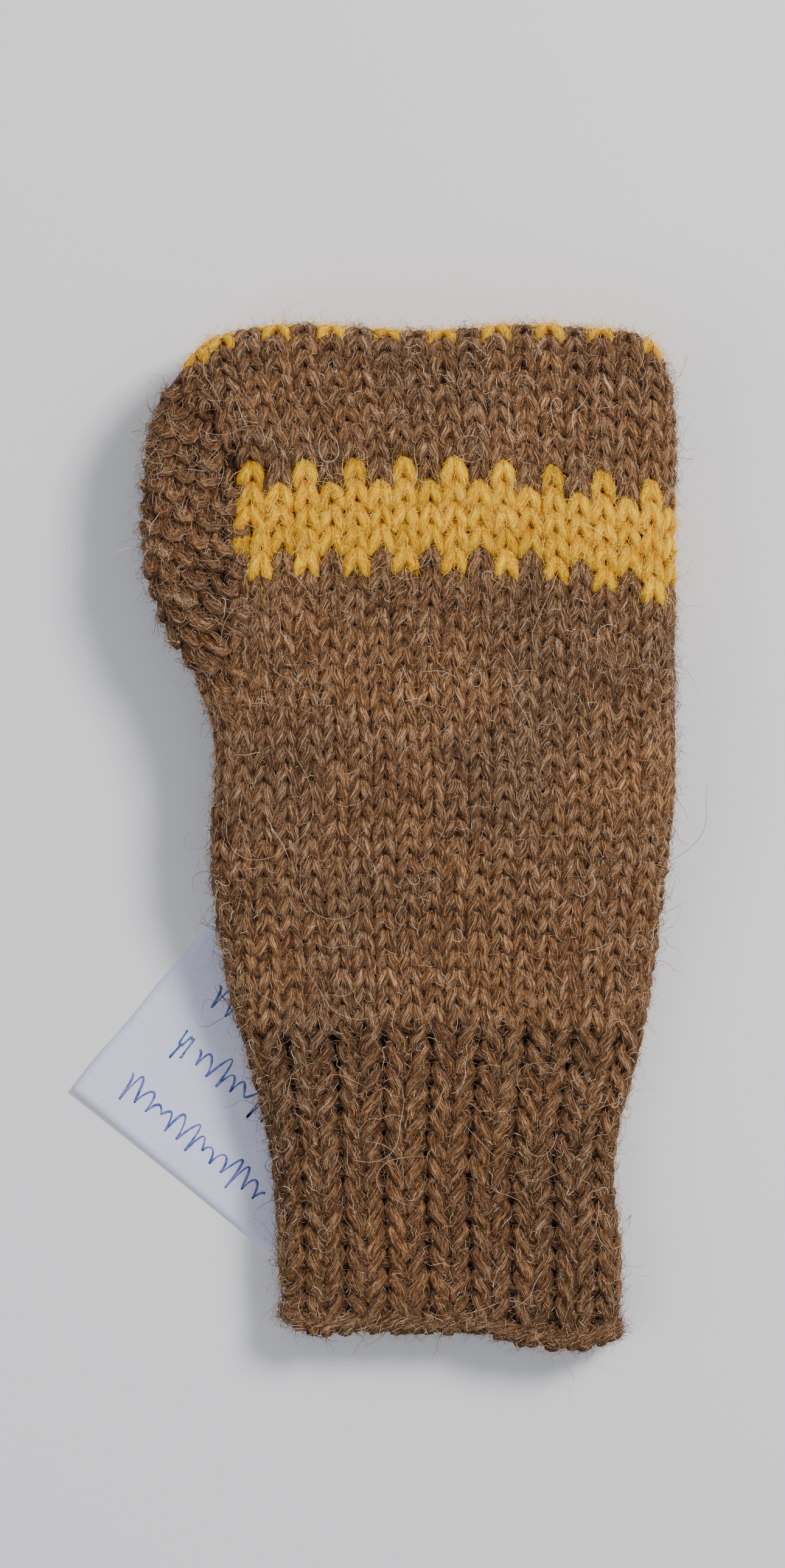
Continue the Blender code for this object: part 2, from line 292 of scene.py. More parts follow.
CROTCH = (fingers_low.x + thumb_high.x) / 2
CROTCH_GAP = 0.3 * MM
FINGERS = flap_tube(["fingers_section", "fingertip_cap"], CROTCH + CROTCH_GAP, fold_high.x)
THUMB = flap_tube(["thumb_base", "thumb_tube", "thumb_tip"], FOLD_LEFT, CROTCH - CROTCH_GAP)


# ---------------------------------------------------------------- meshes


def settle(points):
    """Slow unevenness of a hand-knitted thing lying down, the same for everything that lies close together."""
    x, y, z = points.T
    out = points.copy()

    # Slow waves sideways, lengthwise and in height.
    share = np.clip(z / (10 * MM), 0, 1)
    out[:, 0] += 0.45 * MM * np.sin(y / (9 * MM) + 1.3 * np.sin(x / (31 * MM)))
    out[:, 0] += 0.35 * MM * np.sin(y / (23 * MM) + x / (17 * MM) + 2.1)
    out[:, 1] += 0.5 * MM * np.sin(x / (13 * MM) + 0.7) * np.clip((FOLD_Y - y) / (12 * MM), 0.2, 1)
    out[:, 2] += share * 0.3 * MM * np.sin(x / (11 * MM) + 0.4) * np.sin(y / (14 * MM) + 1.1)

    # The top edge is rounded at its corners and scalloped by its stitches.
    rise = np.clip((y - 100 * MM) / (16 * MM), 0, 1)
    left = np.clip((-22 * MM - x) / (18 * MM), 0, 1.2)
    right = np.clip((x - 56 * MM) / (12 * MM), 0, 1.1)
    out[:, 1] -= (3.4 * MM * left**2 + 5.0 * MM * right**2 - 0.8 * MM * np.cos((x + 17 * MM) / (8.6 * MM))) * rise

    # The cuff's mouth is uneven.
    low = np.clip((-101 * MM - y) / (14 * MM), 0, 1)
    sag = mix(
        x, (-32 * MM, 8), (-20 * MM, 3.5), (-12 * MM, 1.2), (25 * MM, 0.8),
        (35 * MM, -1.0), (46 * MM, -2.4), (56 * MM, 0), (63 * MM, 3.5),
    )
    out[:, 1] += sag * MM * low * low * (3 - 2 * low)
    out[:, 2] = np.maximum(out[:, 2], 1.0 * MM)
    return out


def mesh_object(name, points, quads, materials, slots, home, along=None):
    """A quad mesh that rides on a body; a piece given a span between two bodies rides on neither."""
    mesh = bpy.data.meshes.new(name)
    quads = np.asarray(quads, np.int32)
    mesh.vertices.add(len(points))
    mesh.loops.add(quads.size)
    mesh.loops.foreach_set("vertex_index", quads.ravel())
    mesh.polygons.add(len(quads))
    mesh.polygons.foreach_set("loop_start", np.arange(0, quads.size, 4, dtype=np.int32))
    mesh.polygons.foreach_set("material_index", np.asarray(slots, np.int32))
    mesh.polygons.foreach_set("use_smooth", np.ones(len(quads), bool))
    for material in materials:
        mesh.materials.append(material)
    obj = bpy.data.objects.new(name, mesh)
    bpy.context.scene.collection.objects.link(obj)
    if isinstance(home, str):
        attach(obj, home)
    else:
        # The mesh is first laid out flat by each point's distance along the knitting, then given its points.
        rolled_out = np.zeros((len(points), 3), np.float32)
        rolled_out[:, 1] = along
        mesh.vertices.foreach_set("co", rolled_out.ravel())
        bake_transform(obj)
    mesh.vertices.foreach_set("co", points.astype(np.float32).ravel())
    mesh.update(calc_edges=True)
    return obj


def unit(vectors):
    return vectors / np.maximum(np.linalg.norm(vectors, axis=-1, keepdims=True), 1e-12)


def ring_quads(first, ahead, sides):
    """Quads between rings of points, from the first point of each ring and of the ring ahead of it."""
    here = np.arange(sides)
    following = (here + 1) % sides
    return np.stack([first + here, ahead + here, ahead + following, first + following], -1).reshape(-1, 4)


class Knitting:
    """Strands of yarn and a sheet of painted shade that make one piece. For each point it keeps the grain and tint
    of its yarn, how far it faces out of the fabric (which sets its painted shade), how far along the knitting, its
    way outward, its strand's tangent and how hairy it is."""

    def __init__(self):
        self.parts = {}
        self.count = 0

    def collect(self, **values):
        for key, value in values.items():
            self.parts.setdefault(key, []).append(value)

    def strand(self, path, normal, width, thickness, tint, colours, along, closed, hairy=1.0, proud=1.0):
        """Sweeps yarn along a path. Width is its half size in the surface, thickness its half size across it."""
        count = len(path)
        path = settle(path)
        ahead, behind = np.roll(path, -1, 0), np.roll(path, 1, 0)
        if not closed:
            ahead[-1], behind[0] = path[-1], path[0]
        tangent = unit(ahead - behind)
        side = unit(np.cross(tangent, normal))
        up = np.cross(side, tangent)
        step = np.linalg.norm(np.diff(path, axis=0), axis=1)
        distance = np.concatenate([[0], np.cumsum(step)]) + rng.uniform(0, 9)
        turn = np.arange(SIDES) / SIDES * 2 * math.pi
        lumps = np.ones((count, SIDES))
        for wave, around, size in ((2.1, 1, 0.05), (4.3, 2, 0.045), (6.9, 3, 0.04), (1.1, 0, 0.05)):
            phase = distance / (wave * MM) * 2 * math.pi
            if closed:
                phase = np.round(phase[-1] / 6.28) * 6.28318 * np.arange(count) / count
            lumps += size * np.sin(phase[:, None] + around * turn + rng.uniform(0, 6.28))
        if not closed:
            end = np.minimum(np.arange(count), np.arange(count)[::-1])
            lumps *= np.sqrt(np.clip((end + 0.35) / 2.5, 0, 1))[:, None]
        width = np.broadcast_to(width, count)[:, None]
        thickness = np.broadcast_to(thickness, count)[:, None]
        out = side[:, None] * (np.cos(turn) * width * lumps)[..., None]
        out += up[:, None] * (np.sin(turn) * thickness * lumps)[..., None]
        rings = path[:, None] + out
        rings[..., 2] = np.maximum(rings[..., 2], 0.05 * MM)
        first = self.count + np.arange(count if closed else count - 1)[:, None] * SIDES
        last = self.count + count * SIDES
        ahead_ring = first + SIDES
        if closed:
            ahead_ring = np.where(ahead_ring >= last, self.count, ahead_ring)

        def per_point(values):
            return np.repeat(np.broadcast_to(values, count), SIDES)

        angle = turn + distance[:, None] / (14 * MM)
        grain = [np.repeat(distance[:, None], SIDES, 1), np.cos(angle) * width, np.sin(angle) * width]
        # How far each point of the yarn faces out of the fabric, times proud: the material paints shade where this is
        # low.
        facing = (unit(out) * normal[:, None]).sum(-1)
        colours = np.broadcast_to(colours, count)
        self.collect(
            points=rings.reshape(-1, 3), quads=ring_quads(first, ahead_ring, SIDES),
            slots=per_point(colours)[: first.size * SIDES], grain=np.stack(grain, -1).reshape(-1, 3) / MM,
            tint=per_point(tint), depth=(facing * np.broadcast_to(proud, count)[:, None]).ravel(),
            along=per_point(along), outward=unit(out).reshape(-1, 3), tangent=np.repeat(tangent, SIDES, 0),
            hairy=per_point(hairy),
        )
        if not closed:
            k = np.arange(SIDES // 2 - 1)
            cap = np.stack([k, k + 1, SIDES - 2 - k, SIDES - 1 - k], -1)
            self.collect(quads=self.count + cap, slots=np.full(len(cap), colours[0]))
            self.collect(quads=last - SIDES + cap[:, ::-1], slots=np.full(len(cap), colours[-1]))
        self.count = last

    def shade_sheet(self, tube, start, end, depth=SHADE_SHEET_DEPTH, yellow=None):
        """A dark sheet of painted shade inside the fabric, seen between the stitches, from start to end along the
        tube.
        """
        rows = max(2, int((end - start) / (2.5 * MM)) + 1)
        turns = SHADE_SHEET_TURNS
        v = np.linspace(start, end, rows)[:, None]
        u = tube.around(v) * np.arange(turns) / turns
        points = settle(tube.place(u, v, depth).reshape(-1, 3))
        first = self.count + np.arange(rows - 1)[:, None] * turns
        slots = np.full((rows - 1, turns), SHADE_SHEET)
        if yellow is not None:
            slots = np.where(yellow(u[1:], (v[1:] + v[:-1]) / 2), YELLOW_SHADE_SHEET, SHADE_SHEET)
        amount = rows * turns
        # The sheet counts as facing fully into the fabric, so the material gives it its full painted shade.
        self.collect(
            points=points, quads=ring_quads(first, first + turns, turns)[:, ::-1], slots=slots.ravel(),
            grain=points / MM, tint=np.full(amount, 0.3), depth=np.full(amount, -1.0),
            along=np.repeat(v[:, 0], turns), outward=np.zeros((amount, 3)), tangent=np.zeros((amount, 3)),
            hairy=np.zeros(amount),
        )
        self.count += amount
        return self

    def join(self):
        for key, parts in self.parts.items():
            setattr(self, key, np.concatenate(parts))


# ---------------------------------------------------------------- stitches


def knit_row(piece, tube, row_v, edges, faces, colours, pitch, closed=True, shift=None, **look):
    """One row of stitches round a tube. Edges are the stitches' sides as distances round the tube; faces are
    1 for a knit stitch and -1 for a purl; the loops' heads point to the cuff. The look's entries: lean and splay
    bend the legs, reach is a loop's half length in pitches, lift raises stitches, thick and flat size the yarn,
    shell makes round lumps, shade lowers the row's tint and sunk lowers how far it faces out for the material:
    both are painted shade."""
    count = len(faces)
    faces = np.asarray(faces, float)
    t = (np.arange(STEPS) / STEPS * 2 - 1) * math.pi
    wide = np.diff(edges)[:, None]
    lean = look.get("lean", 0.25)
    reach = look.get("reach", 0.82) * pitch
    lift = np.broadcast_to(look.get("lift", 0.0), count)[:, None]
    thick = np.broadcast_to(look.get("thick", 1.0), count)[:, None]
    window = (1 + np.cos(t)) / 2
    jitter = np.clip(rng.normal(0, 0.3 * MM, (3, count, 1)), -0.6 * MM, 0.6 * MM)
    size = 1 + np.clip(rng.normal(0, 0.07, (count, 1)), -0.16, 0.16)
    u = edges[:-1, None] + wide * (t + math.pi) / (2 * math.pi) + lean * wide * np.sin(2 * t)
    u = u + look.get("splay", 0.0) * wide * np.sin(t)
    u = u + jitter[0] * window * np.abs(np.cos(t / 2))
    v = row_v - reach * np.cos(t) + jitter[1] * window
    here = faces[:, None]
    beside = np.where(t[None] < 0, np.roll(here, 1, 0), np.roll(here, -1, 0))
    q = (1 + np.cos(2 * t)) / 2
    inner = np.abs(t) <= math.pi / 2
    head = np.where(inner, -here, -(here + beside) / 2) * LOOP_DEPTH
    w = here * LOOP_DEPTH * (1 - q) + head * q
    if "shell" in look:
        w = look["shell"] * np.cos(t)
    ease = np.cos(t / 2) ** 2
    near = np.where(t[None] < 0, np.roll(lift, 1, 0), np.roll(lift, -1, 0)) if closed else lift
    w = BASE + w + lift * ease + (lift + near) / 2 * (1 - ease) + np.minimum(jitter[2], 0.1 * MM) * window
    width = YARN_WIDTH * thick * size * (1 - 0.13 * here * np.cos(2 * t))
    thickness = YARN_THICKNESS * thick * size * (1 - 0.06 * here * np.cos(2 * t)) * look.get("flat", 1.0)
    if shift is not None:
        v = v + shift(tube.place(u, v, 0)[..., 0], row_v)
    # Each stitch's tint is random; shade lowers it, as painted shade.
    tint = rng.uniform(0, 1, count) * 0.6 + rng.uniform(0, 0.4) - look.get("shade", 0.0)
    hairy = np.clip((w - BASE) / LOOP_DEPTH * 0.7 + 0.6, 0.1, 1.3)
    # How far the strand stands out: the material paints more shade where it is lower, and sunk below 1 lowers it
    # further.
    proud = (0.5 + 0.5 * np.clip((w - BASE) / (2 * LOOP_DEPTH) + 0.5, 0, 1)) * look.get("sunk", 1.0)
    piece.strand(
        tube.place(u, v, w).reshape(-1, 3), tube.normal(u, v).reshape(-1, 3), width.ravel(), thickness.ravel(),
        np.repeat(tint, STEPS), np.repeat(colours, STEPS), v.ravel(), closed, hairy.ravel(), proud.ravel(),
    )


def droop(x, v):
    """How far a row hangs below its level at x, in the palm and at the fold's corners."""
    right = mix(v, (-10 * MM, 0), (50 * MM, 6.5), (62 * MM, 6.5), (83 * MM, 4.5), (96 * MM, 3.5), (109 * MM, 0))
    fold = mix(v, (94 * MM, 0), (109 * MM, 1), (117 * MM, 1), (126 * MM, 0.25), (131 * MM, 0))
    drop = right * (np.maximum(x - 20 * MM, 0) / (45 * MM)) ** 2
    drop = drop + fold * 2.0 * (np.clip(x - 50 * MM, 0, 17 * MM) / (15 * MM)) ** 2
    drop = drop + fold * 4.2 * (np.clip(-24 * MM - x, 0, 18 * MM) / (16 * MM)) ** 2
    return -drop * MM


def columns_evenly(tube, v, count):
    """Stitch sides all round a tube, with a stitch's middle on the reference line."""
    return tube.around(v) * (np.arange(count + 1) - 0.5 - count // 2) / count


SEAM_NODES = ["palm_section", "first_yellow_band", "knuckle_section"]
SEAM_Y, SEAM_X = smooth_curve(*edge_of(SEAM_NODES, 0, False))
GUSSET_STITCH = 5.3 * MM
FOLD_STITCH = 6.15 * MM
FOLD_COLUMNS = 18  # the fold's stitches on the front, and again on the back


def seam_x(v):
    """Where the palm's plain knitting meets the gusset; above the band the plain knitting runs out to the side."""
    outward = mix(v, (BAND_END, 0), (BAND_END + 8 * MM, 4.5), (BAND_END + 20 * MM, 15))
    return np.interp(v, SEAM_Y, SEAM_X) - outward * MM


def stitch_pitch(v):
    return MM * mix(v, (-50 * MM, 5.3), (31 * MM, 5.65), (62 * MM, 5.6), (86 * MM, 5.65), (113 * MM, FOLD_STITCH / MM))


def side_edges(v):
    return np.interp(v, STATIONS, WHOLE_LEFT), np.interp(v, STATIONS, WHOLE_RIGHT)


def palm_columns(v):
    """The palm's stitch sides between the two seams of the gusset, the number of its first column, and the
    gusset's own stitch sides."""
    _, _, _, radius, flat = WHOLE.section(v)
    middle = sum(side_edges(v)) / 2
    reference = np.interp(v, STATIONS, REFERENCE)
    pitch = stitch_pitch(v)
    top_seam = seam_x(v) - reference
    under_seam = 2 * middle + flat + math.pi * radius - seam_x(v) - reference
    first = int(round(top_seam / pitch))
    last = int(round(under_seam / pitch))
    number = np.arange(first, last + 1)
    edges = number * pitch
    edges = edges + (top_seam - edges[0]) * np.clip(1 - (number - first) / 2, 0, 1)
    edges = edges + (under_seam - edges[-1]) * np.clip(1 - (last - number) / 9, 0, 1)
    girth = WHOLE.around(v)
    share = np.linspace(0, 1, max(3, int(round((girth + top_seam - under_seam) / GUSSET_STITCH))) + 1)
    return edges, first, under_seam + (girth + top_seam - under_seam) * share


def fold_columns(v):
    """Stitch sides round the fold, evenly spaced on the front and closing on the back, and the first's number."""
    side = FOLD_COLUMNS // 2 * FOLD_STITCH
    number = np.arange(-FOLD_COLUMNS // 2, FOLD_COLUMNS * 3 // 2 + 1)
    return np.interp(number, [number[0], -number[0], number[-1]], [-side, side, WHOLE.around(v) - side]), number[0]


# ---------------------------------------------------------------- materials


def feed(tree, target, values):
    """Sets a node's inputs: a socket is linked to its input, anything else becomes the input's value."""
    for key, value in values.items():
        if isinstance(value, bpy.types.NodeSocket):
            tree.links.new(value, target.inputs[key])
        else:
            target.inputs[key].default_value = value


def node(tree, kind, values, **settings):
    made = tree.nodes.new("ShaderNode" + kind)
    for key, value in settings.items():
        setattr(made, key, value)
    feed(tree, made, values)
    return made.outputs


def attribute(tree, name, output):
    return node(tree, "Attribute", {}, attribute_name=name)[output]


def noise(tree, place, scale, **settings):
    values = {key.capitalize(): value for key, value in settings.items()}
    return node(tree, "TexNoise", {"Vector": place, "Scale": scale, **values})["Fac"]


def object_place(tree):
    return node(tree, "TexCoord", {})["Object"]


def ramp(tree, source, *stops):
    made = tree.nodes.new("ShaderNodeValToRGB")
    while len(made.color_ramp.elements) < len(stops):
        made.color_ramp.elements.new(0.5)
    for element, (at, colour) in zip(made.color_ramp.elements, stops):
        element.position = at
        element.color = (*colour, 1)
    feed(tree, made, {"Fac": source})
    return made.outputs["Color"]


def multiplied(tree, first, second):
    """Two colours multiplied, by the mix node's colour inputs 6 and 7."""
    return node(tree, "Mix", {0: 1.0, 6: first, 7: second}, data_type="RGBA", blend_type="MULTIPLY")[2]


def bump(tree, height, strength, distance):
    return node(tree, "Bump", {"Height": height, "Strength": strength, "Distance": distance})["Normal"]


def material(name, look):
    """A material: look takes its node tree and gives the shader's inputs."""
    made = bpy.data.materials.new(name)
    made.use_nodes = True
    feed(made.node_tree, made.node_tree.nodes["Principled BSDF"], look(made.node_tree))
    return made


def wool(name, dark, middle, light, warm, cool, painted_shade, sheen):
    """Loosely spun yarn: pale and dark fibres lying along the strand, with slow random changes of tone, and painted
    shade where a strand faces into the fabric.
    """

    def look(tree):
        grain = attribute(tree, "grain", "Vector")
        tint = attribute(tree, "tint", "Fac")
        depth = attribute(tree, "depth", "Fac")
        streaks = []
        for scale, detail in (((0.22, 2.6, 2.6), 3.0), ((0.5, 6.5, 6.5), 2.0)):
            stretched = node(tree, "Mapping", {"Vector": grain, "Scale": scale})["Vector"]
            streaks.append(noise(tree, stretched, 1.0, detail=detail, roughness=0.6, distortion=0.35))
        both = node(tree, "Math", {0: streaks[0], 1: streaks[1]}, operation="ADD")[0]
        half = node(tree, "Math", {0: both, 1: 0.5}, operation="MULTIPLY")[0]
        patches = noise(tree, object_place(tree), 38.0, detail=2.0)
        colour = ramp(tree, half, (0.38, dark), (0.5, middle), (0.62, light))
        for layer in (
            ramp(tree, patches, (0.35, cool), (0.65, warm)),
            ramp(tree, tint, (0.0, (0.74, 0.74, 0.74)), (1.0, (1.2, 1.2, 1.2))),
            # Painted shade: darker where the yarn faces into the fabric, in the hollows between stitches and on the
            # strands' flanks and undersides.
            ramp(tree, depth, (0.12, painted_shade), (0.93, (1, 1, 1))),
        ):
            colour = multiplied(tree, colour, layer)
        return {
            "Base Color": colour, "Normal": bump(tree, half, 0.9, 0.0004), "Roughness": 0.95,
            "Specular IOR Level": 0.15, "Sheen Weight": 0.11, "Sheen Roughness": 0.5, "Sheen Tint": (*sheen, 1),
        }

    return material(name, look)


def fibre(name, colour):
    """Stray fibres: one colour, with a roughness that changes along them."""

    def look(tree):
        value = noise(tree, object_place(tree), 900.0)
        rough = node(tree, "MapRange", {"Value": value, "To Min": 0.55, "To Max": 0.95})["Result"]
        return {"Base Color": (*colour, 1), "Roughness": rough, "Specular IOR Level": 0.12}

    return material(name, look)


GREYS = [(shade, shade, shade) for shade in (1.0, 0.9, 0.8)]
# Each wool: its dark, middle and light fibre colours, warm and cool patch tints, its painted shade colour and its
# sheen tint. The two inside wools colour the dark sheets of painted shade.
WOOLS = [
    wool("brown_wool_yarn", (0.024, 0.0065, 0.0015), (0.190, 0.092, 0.040), (0.66, 0.41, 0.235),
         (1.14, 1.03, 0.90), (0.84, 0.86, 0.90), (0.17, 0.095, 0.05), (0.6, 0.45, 0.33)),
    wool("yellow_wool_yarn", (0.52, 0.19, 0.003), (1.0, 0.55, 0.010), (1.0, 0.86, 0.05),
         (1.0, 0.96, 0.9), (0.95, 0.90, 0.8), (0.34, 0.13, 0.012), (0.95, 0.72, 0.25)),
    wool("brown_wool_painted_shade", (0.014, 0.005, 0.002), (0.03, 0.013, 0.006), (0.06, 0.03, 0.015),
         *GREYS, (0.3, 0.2, 0.1)),
    wool("yellow_wool_painted_shade", (0.07, 0.025, 0.004), (0.15, 0.06, 0.010), (0.25, 0.12, 0.02),
         *GREYS, (0.4, 0.3, 0.1)),
]
# The dark brown fibres stand partly for the yarn's real dark fibres and partly for fibres lying in shade: painted
# shade.
FIBRES = [
    fibre("brown_fibre_dark", (0.045, 0.018, 0.008)),
    fibre("brown_fibre", (0.24, 0.125, 0.060)),
    fibre("brown_fibre_pale", (0.54, 0.37, 0.23)),
    fibre("cream_fibre", (0.78, 0.66, 0.50)),
    fibre("yellow_fibre", (0.85, 0.44, 0.03)),
    fibre("yellow_fibre_pale", (1.0, 0.70, 0.14)),
]


# ---------------------------------------------------------------- fuzz


def fibres(name, knit, count, home, length=(2.0, 5.5), width=0.048, loft=0.40, long_share=0.05):
    """Loose fibres rooted on the yarn: they set out along the strand, lift off it and curl."""
    chance = knit.hairy * np.clip(knit.depth + 0.35, 0, 1) * np.where(knit.outward[:, 2] < -0.3, 0.2, 1.0)
    chance = chance / chance.sum()
    root = rng.choice(len(knit.points), count, p=chance)
    start = knit.points[root]
    out = knit.outward[root]
    along = knit.tangent[root] * rng.choice([-1, 1], (count, 1))
    side = np.cross(out, along)
    spread = rng.normal(0, 0.45, (count, 1))
    heading = unit(along + side * spread)
    span = rng.uniform(*length, count) * MM
    span = np.where(rng.random(count) < long_share, span * rng.uniform(1.8, 3.2, count), span)
    bits = 5
    turn = rng.normal(0, 0.55, count)
    lift = np.abs(rng.normal(loft, 0.3, count))
    point = start - out * 0.12 * MM
    line = [point]
    wobble = rng.normal(0, 0.5, (bits, count))
    for k in range(bits):
        angle = turn * (k + 0.5) + wobble[k]
        rise = lift * math.cos(math.pi * (k + 0.3) / bits * 0.85)
        step = heading * np.cos(angle)[:, None] + np.cross(out, heading) * np.sin(angle)[:, None]
        step = unit(step + out * rise[:, None])
        point = point + step * (span / bits)[:, None]
        line.append(point)
    line = np.stack(line, 1)
    line[..., 2] = np.clip(line[..., 2], 0.15 * MM, HIGHEST)
    across = unit(np.cross(line[:, 1] - line[:, 0], rng.normal(0, 1, (count, 3))))
    taper = np.array([1.0, 1.0, 0.95, 0.85, 0.65, 0.25])[:, None]
    reach = across[:, None] * taper * width * MM * rng.uniform(0.7, 1.3, (count, 1, 1))
    ribbon = np.stack([line - reach, line + reach], 2).reshape(-1, 3)
    first = np.arange(count)[:, None] * (bits + 1) * 2 + np.arange(bits) * 2
    quads = np.stack([first, first + 1, first + 3, first + 2], -1).reshape(-1, 4)
    pick = rng.random(count)
    brown = np.select([pick < 0.20, pick < 0.72, pick < 0.97], [0, 1, 2], 3)
    yellow = np.select([pick < 0.06, pick < 0.55], [1, 4], 5)
    slots = np.repeat(np.where(knit.root_yellow[root], yellow, brown), bits)
    return mesh_object(name, ribbon, quads, FIBRES, slots, home, np.repeat(knit.along[root], (bits + 1) * 2))


def fabric(name, knit, home, replaced, fuzz=0):
    """Turns collected strands into a piece, with its fuzz beside it."""
    knit.join()
    obj = mesh_object(name, knit.points, knit.quads, WOOLS, knit.slots, home, knit.along)
    for key, kind, field in (
        ("grain", "FLOAT_VECTOR", "vector"), ("tint", "FLOAT", "value"), ("depth", "FLOAT", "value"),
    ):
        values = np.asarray(getattr(knit, key), np.float32)
        obj.data.attributes.new(key, kind, "POINT").data.foreach_set(field, values.ravel())
    if replaced:
        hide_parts(*replaced)
    if fuzz:
        yellow = np.zeros(len(knit.points), bool)
        yellow[knit.quads[knit.slots == YELLOW].ravel()] = True
        knit.root_yellow = yellow
        amount = int(fuzz)
        fibres(name + "_fuzz", knit, amount, home)


# ---------------------------------------------------------------- the hand


def spread_rows(start, end, count):
    """Rows spread evenly over a stretch: their middles and their pitch."""
    pitch = (end - start) / count
    return start + (np.arange(count) + 0.5) * pitch, pitch


RIB_ROWS, RIB_PITCH = spread_rows(EDGE_TOP, CUFF_TOP, 13)
WRIST_ROWS, BROWN_PITCH = spread_rows(CUFF_TOP, BAND_START, 24)
BAND_ROWS, BAND_PITCH = spread_rows(BAND_START, BAND_END, 5)
SECOND_START = BAND_END + 7 * 4.2 * MM
KNUCKLE_ROWS, KNUCKLE_PITCH = spread_rows(BAND_END, SECOND_START, 7)

# The second band: a row of single yellow stitches, three yellow rows and the flap's first row.
DOTS_PITCH = 6.2 * MM
SECOND_PITCH = 4.85 * MM
SECOND_ROWS = SECOND_START + DOTS_PITCH + (np.arange(-1, 4) + 0.5) * SECOND_PITCH
SECOND_ROWS[0] = SECOND_START + DOTS_PITCH / 2
FLAP_START = SECOND_START + DOTS_PITCH + 4 * SECOND_PITCH
FLAP_PITCH = 4.3 * MM

# Ribbed cuff: one knit and one purl stitch in turn.
RIB_PAIRS = 18
RIB_KNIT = 0.66  # the knit stitch's share of a pair
RIB_PHASE = -3.5 * MM


def rib_edges(v):
    girth = WHOLE.around(v)
    pair = girth / RIB_PAIRS
    starts = (np.arange(RIB_PAIRS) - RIB_PAIRS // 2) * pair + RIB_PHASE - RIB_KNIT * pair / 2
    edges = np.stack([starts, starts + RIB_KNIT * pair], -1).ravel()
    return np.append(edges, edges[0] + girth)


knit = Knitting().shade_sheet(WHOLE, EDGE_TOP - 1.5 * MM, CUFF_TOP, SHADE_SHEET_DEPTH - 0.4 * MM)
rib_faces = np.tile([1, -1], RIB_PAIRS)
raised = rib_faces > 0
# The ribbing is darkened as a whole by shade and sunk: painted shade.
for v in RIB_ROWS:
    knit_row(
        knit, WHOLE, v, rib_edges(v), rib_faces, np.full(2 * RIB_PAIRS, BROWN), RIB_PITCH, shift=droop,
        lift=np.where(raised, 0.3 * MM, -1.1 * MM), thick=np.where(raised, 1.08, 1.0),
        lean=np.where(raised, 0.33, 0.22)[:, None], splay=np.where(raised, 0.2, 0.0)[:, None],
        reach=0.84, shade=0.38, sunk=0.92,
    )
fabric("cuff_ribbing", knit, "hand", ["ribbed_cuff"], 19000)

# Bound-off edge: a chain of loops lying along the rim.
knit = Knitting()
loops = 2 * RIB_PAIRS
steps = loops * 16
phase = np.arange(steps) / steps * 2 * math.pi
girth = WHOLE.around(EDGE_TOP)
for side, turn in ((1, 0.0), (-1, math.pi)):
    cycle = phase * loops + turn
    u = phase / (2 * math.pi) * girth + 0.25 * girth / loops * np.sin(cycle * 2)
    v = (edge_low.y + edge_high.y) / 2 + 0.9 * MM + 1.3 * MM * np.sin(cycle) + 0.5 * MM * np.sin(phase * 7 + side)
    path = WHOLE.place(u, v, BASE + 0.35 * MM + 0.85 * MM * np.cos(cycle))
    size = 1 + 0.12 * np.sin(phase * 11 + side) + 0.08 * np.sin(phase * 23)
    tint = 0.2 + 0.2 * np.sin(phase * 5 + side)
    # proud below 1 darkens the chain in the material: painted shade.
    knit.strand(path, WHOLE.normal(u, v), 1.5 * MM * size, 1.3 * MM * size, tint, BROWN, v, True, proud=0.85)
fabric("bound_off_edge_chain", knit, "hand", ["bound_off_edge"], 4500)

# Plain knitting from the cuff up to the start of the thumb gusset.
knit = Knitting().shade_sheet(WHOLE, CUFF_TOP, GUSSET_START)
for v in WRIST_ROWS[WRIST_ROWS < GUSSET_START]:
    palm, _, side = palm_columns(v)
    edges = np.concatenate([palm, side[1:]])
    count = len(edges) - 1
    knit_row(knit, WHOLE, v, edges, np.ones(count), np.full(count, BROWN), BROWN_PITCH, shift=droop)
fabric("wrist_knitting", knit, "hand", ["wrist_section"], 24000)


def row_colours(first, count, dots=False, yellow=False):
    """A row's yarns: all brown, all yellow, or every other column yellow, counted from the reference line."""
    colours = np.full(count, YELLOW if yellow else BROWN)
    if dots:
        colours[np.arange(first, first + count) % 2 == 0] = YELLOW
    return colours


def palm_row(knit, v, pitch, **yarns):
    edges, first, _ = palm_columns(v)
    count = len(edges) - 1
    lift = np.zeros(count)
    lift[[0, -1]] = -0.5 * MM
    colours = row_colours(first, count, **yarns)
    knit_row(knit, WHOLE, v, edges, np.ones(count), colours, pitch, closed=False, shift=droop, lift=lift)


def on_palm(u, v):
    """Which places round the tube, all at about the same v, lie on the palm's side of the gusset's seams."""
    edges = palm_columns(float(np.mean(v)))[0]
    return (u < edges[-1]) | (u > WHOLE.around(v) + edges[0])


GUSSET_PITCH = 4.7 * MM
GUSSET_TOP = 107.5 * MM


def slanted(x, v):
    """Gusset rows hang lower near the palm than at the outer edge."""
    ease = mix(v, (GUSSET_START, 0.2), (GUSSET_START + 15 * MM, 1.0), (90 * MM, 1.0), (105 * MM, 0.3))
    return -np.clip((x + 43 * MM) * 0.28, -3 * MM, 3 * MM) * ease


def gusset_row(knit, v, pitch, odd):
    """A row of purl bumps, each one a round lump, every other row half a stitch along."""
    _, _, edges = palm_columns(v)
    step = edges[1] - edges[0]
    edges = edges + (0.25 if odd else -0.25) * step
    edges = np.concatenate([[edges[0] - 0.3 * step], edges[1:-1], [edges[-1] + 0.3 * step]])
    count = len(edges) - 1
    knit_row(
        knit, WHOLE, v, edges, -np.ones(count), np.full(count, BROWN), pitch, closed=False, shift=slanted,
        reach=0.74, thick=1.10, lean=0.13, shell=1.3 * MM, flat=1.05, lift=-0.9 * MM,
    )


